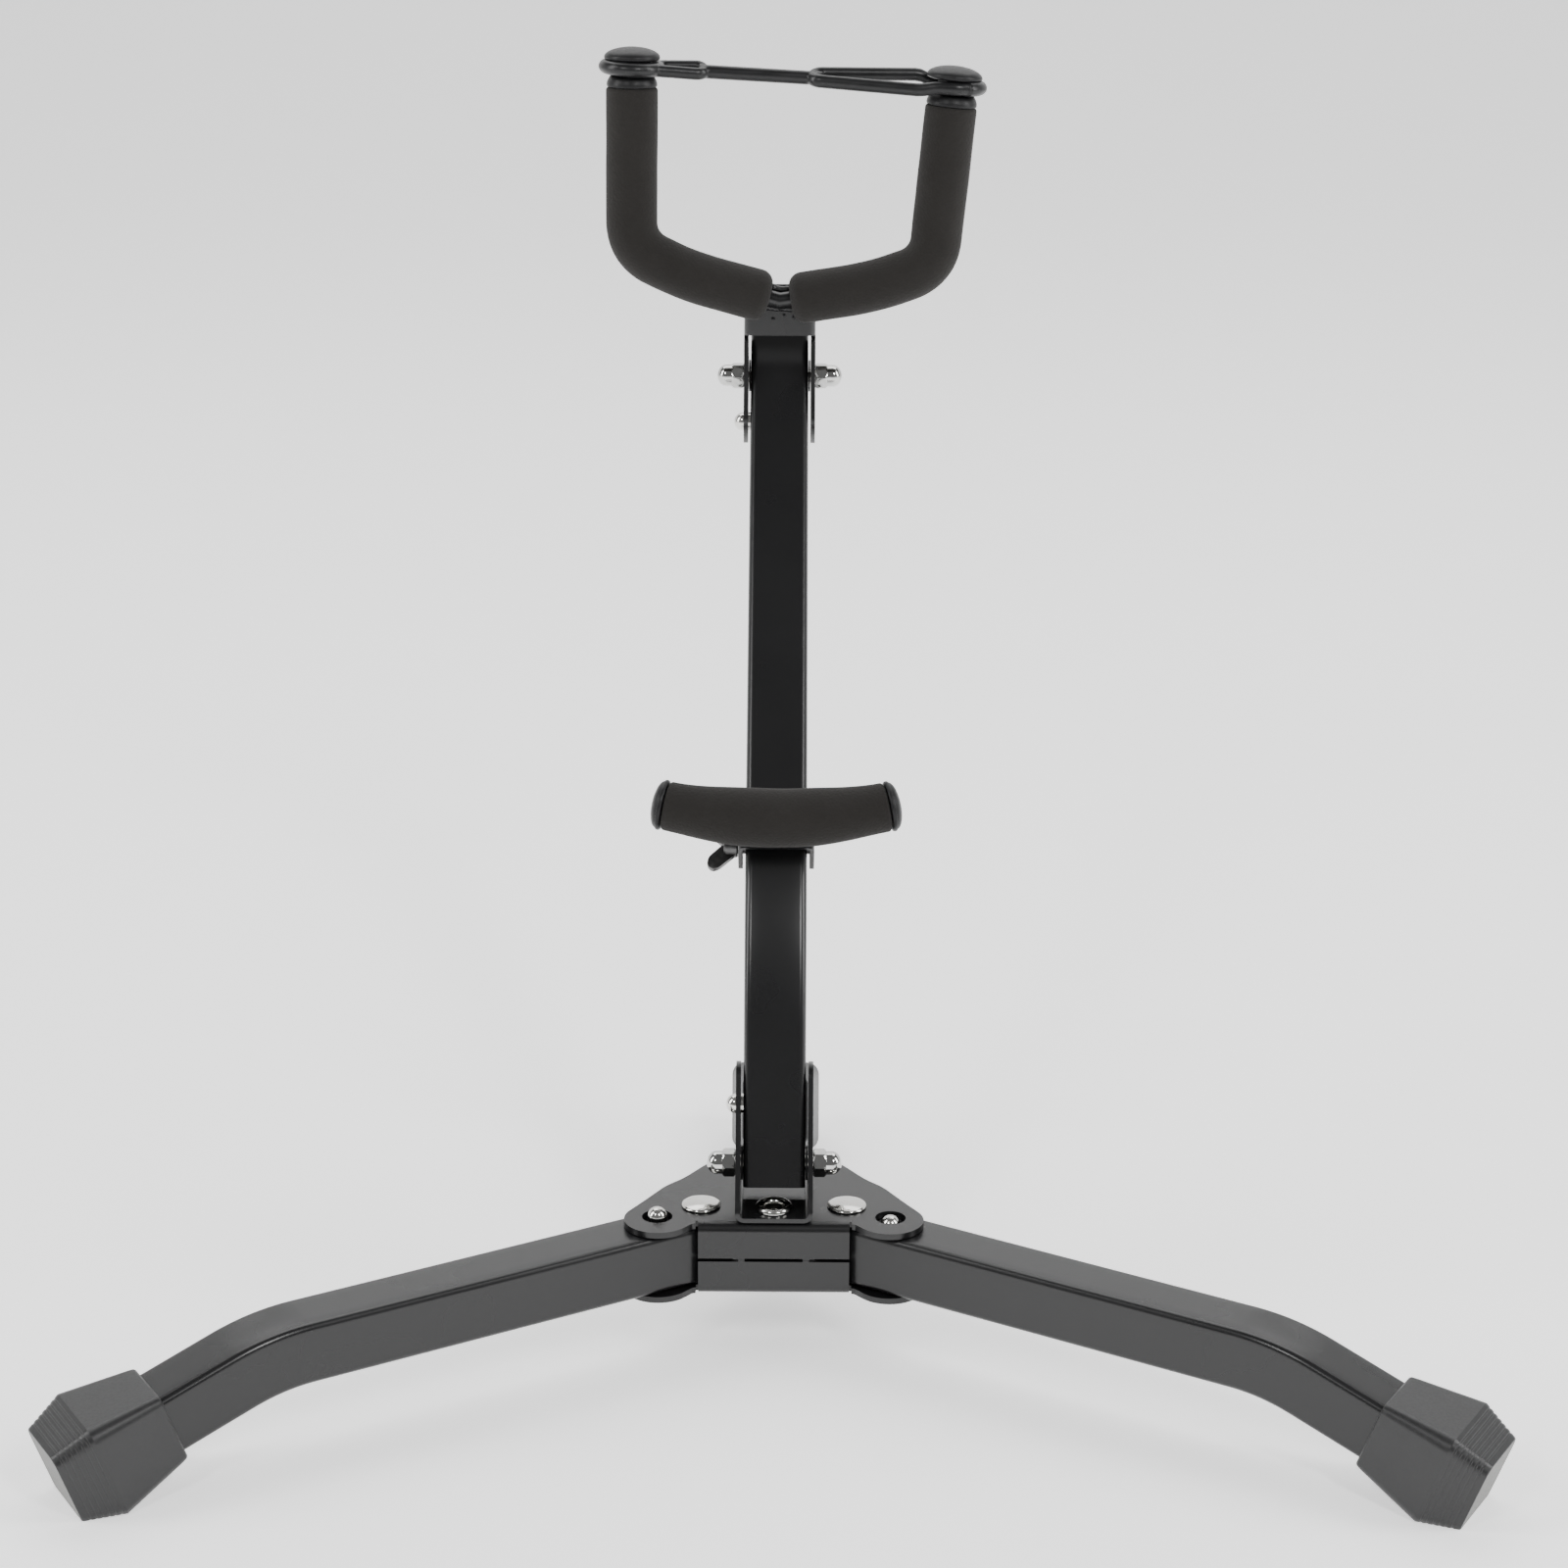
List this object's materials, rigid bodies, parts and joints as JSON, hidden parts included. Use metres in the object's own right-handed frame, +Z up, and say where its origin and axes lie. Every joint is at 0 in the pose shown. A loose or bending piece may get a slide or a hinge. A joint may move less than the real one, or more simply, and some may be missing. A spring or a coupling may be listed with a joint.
{
  "type": "saxophone stand",
  "caption": "Folding tripod saxophone stand: bent square post leaning back from a pressed hub, padded cradle bar, and a padded U yoke closed by a rubber strap.",
  "frame": {"origin": "on the floor, under the middle of the stand's floor box", "axes": "+Z up, +Y from the player's side towards the fixed rear leg, X across the stand with its left-hand leg at -X"},
  "size_m": [0.44, 0.3168, 0.3972],
  "materials": {
    "powder_coat": "semi-gloss black powder coat on steel",
    "foot_rubber": "moulded, satin, fine grooves",
    "foam": "matt closed-cell foam sleeve",
    "strap_rubber": "smooth moulded rubber, slight sheen",
    "cap_rubber": "moulded, semi-matt",
    "nylon": "black nylon",
    "bright_zinc": "bright plated steel",
    "spring_steel": "hardened strip"
  },
  "bodies": {
    "hub": {"hub_top_plate": "powder_coat", "hub_bottom_plate": "powder_coat", "post_bracket": "powder_coat", "centre_eyelet": "bright_zinc", "rear_leg_rivet": "bright_zinc", "left_leg_pivot_rivet": "bright_zinc", "right_leg_pivot_rivet": "bright_zinc", "rear_leg_tube": "powder_coat", "rear_foot": "foot_rubber", "post_hinge_stud": "bright_zinc", "post_hinge_acorn_nut_left": "bright_zinc", "post_hinge_acorn_nut_right": "bright_zinc"},
    "left_leg": {"left_leg_tube": "powder_coat", "left_foot": "foot_rubber", "left_leg_lock_spring": "spring_steel"},
    "left_leg_lock": {"left_leg_lock_button": "bright_zinc"},
    "right_leg": {"right_leg_tube": "powder_coat", "right_foot": "foot_rubber", "right_leg_lock_spring": "spring_steel"},
    "right_leg_lock": {"right_leg_lock_button": "bright_zinc"},
    "post": {"post_tube": "powder_coat", "post_hinge_washer_left": "nylon", "post_hinge_washer_right": "nylon", "yoke_hinge_stud": "bright_zinc", "yoke_hinge_acorn_nut_left": "bright_zinc", "yoke_hinge_acorn_nut_right": "bright_zinc", "yoke_hinge_washer_left": "nylon", "yoke_hinge_washer_right": "nylon", "post_lock_spring": "spring_steel", "yoke_lock_spring": "spring_steel"},
    "post_lock": {"post_lock_button": "bright_zinc"},
    "yoke_lock": {"yoke_lock_button": "bright_zinc"},
    "cradle": {"cradle_bracket": "powder_coat", "cradle_arm": "powder_coat", "cradle_bar": "powder_coat", "cradle_foam": "foam", "cradle_cap_left": "cap_rubber", "cradle_cap_right": "cap_rubber"},
    "wing_screw": {"cradle_wing_screw": "bright_zinc"},
    "yoke": {"yoke_bracket": "powder_coat", "yoke_rod": "powder_coat", "yoke_foam_left": "foam", "yoke_foam_right": "foam", "yoke_cap_left": "cap_rubber", "yoke_cap_right": "cap_rubber", "yoke_strap": "strap_rubber"}
  },
  "joints": [
    {"name": "left_leg_fold", "type": "hinge", "parent": "hub", "child": "left_leg", "pos_m": [-0.0235, -0.03362, 0.0335], "axis": [0, 0, -1], "range_deg": [0, 118], "deforming": ["left_leg_lock_button"]},
    {"name": "right_leg_fold", "type": "hinge", "parent": "hub", "child": "right_leg", "pos_m": [0.0235, -0.03362, 0.0335], "axis": [0, 0, 1], "range_deg": [0, 118], "deforming": ["right_leg_lock_button"]},
    {"name": "left_leg_lock_press", "type": "slide", "parent": "left_leg", "child": "left_leg_lock", "axis": [0, 0, -1], "range_m": [0, 0.0055], "deforming": ["left_leg_lock_spring"]},
    {"name": "right_leg_lock_press", "type": "slide", "parent": "right_leg", "child": "right_leg_lock", "axis": [0, 0, -1], "range_m": [0, 0.0055], "deforming": ["right_leg_lock_spring"]},
    {"name": "post_fold", "type": "hinge", "parent": "hub", "child": "post", "pos_m": [0, -0.02822, 0.0586], "axis": [-1, 0, 0], "range_deg": [0, 50], "deforming": ["post_lock_button"]},
    {"name": "post_lock_press", "type": "slide", "parent": "post", "child": "post_lock", "axis": [1, 0, 0], "range_m": [0, 0.0055], "stiffness_N_per_m": 800, "deforming": ["post_lock_spring"]},
    {"name": "yoke_fold", "type": "hinge", "parent": "post", "child": "yoke", "pos_m": [0, 0.14277, 0.28267], "axis": [-1, 0, 0], "range_deg": [0, 216], "deforming": ["yoke_lock_button"]},
    {"name": "yoke_lock_press", "type": "slide", "parent": "post", "child": "yoke_lock", "axis": [1, 0, 0], "range_m": [0, 0.0055], "stiffness_N_per_m": 800, "deforming": ["yoke_lock_spring"]},
    {"name": "cradle_tilt", "type": "hinge", "parent": "post", "child": "cradle", "pos_m": [0, 0.01599, 0.15139], "axis": [1, 0, 0], "range_deg": [-5, 5]},
    {"name": "cradle_wing_turn", "type": "hinge", "parent": "cradle", "child": "wing_screw", "pos_m": [0, 0.01599, 0.15139], "axis": [1, 0, 0], "continuous": true}
  ],
  "couplings": [
    {"joint": "left_leg_lock_press", "follows": "left_leg_fold", "m_per_rad": 0.002668},
    {"joint": "right_leg_lock_press", "follows": "right_leg_fold", "m_per_rad": 0.002668}
  ]
}
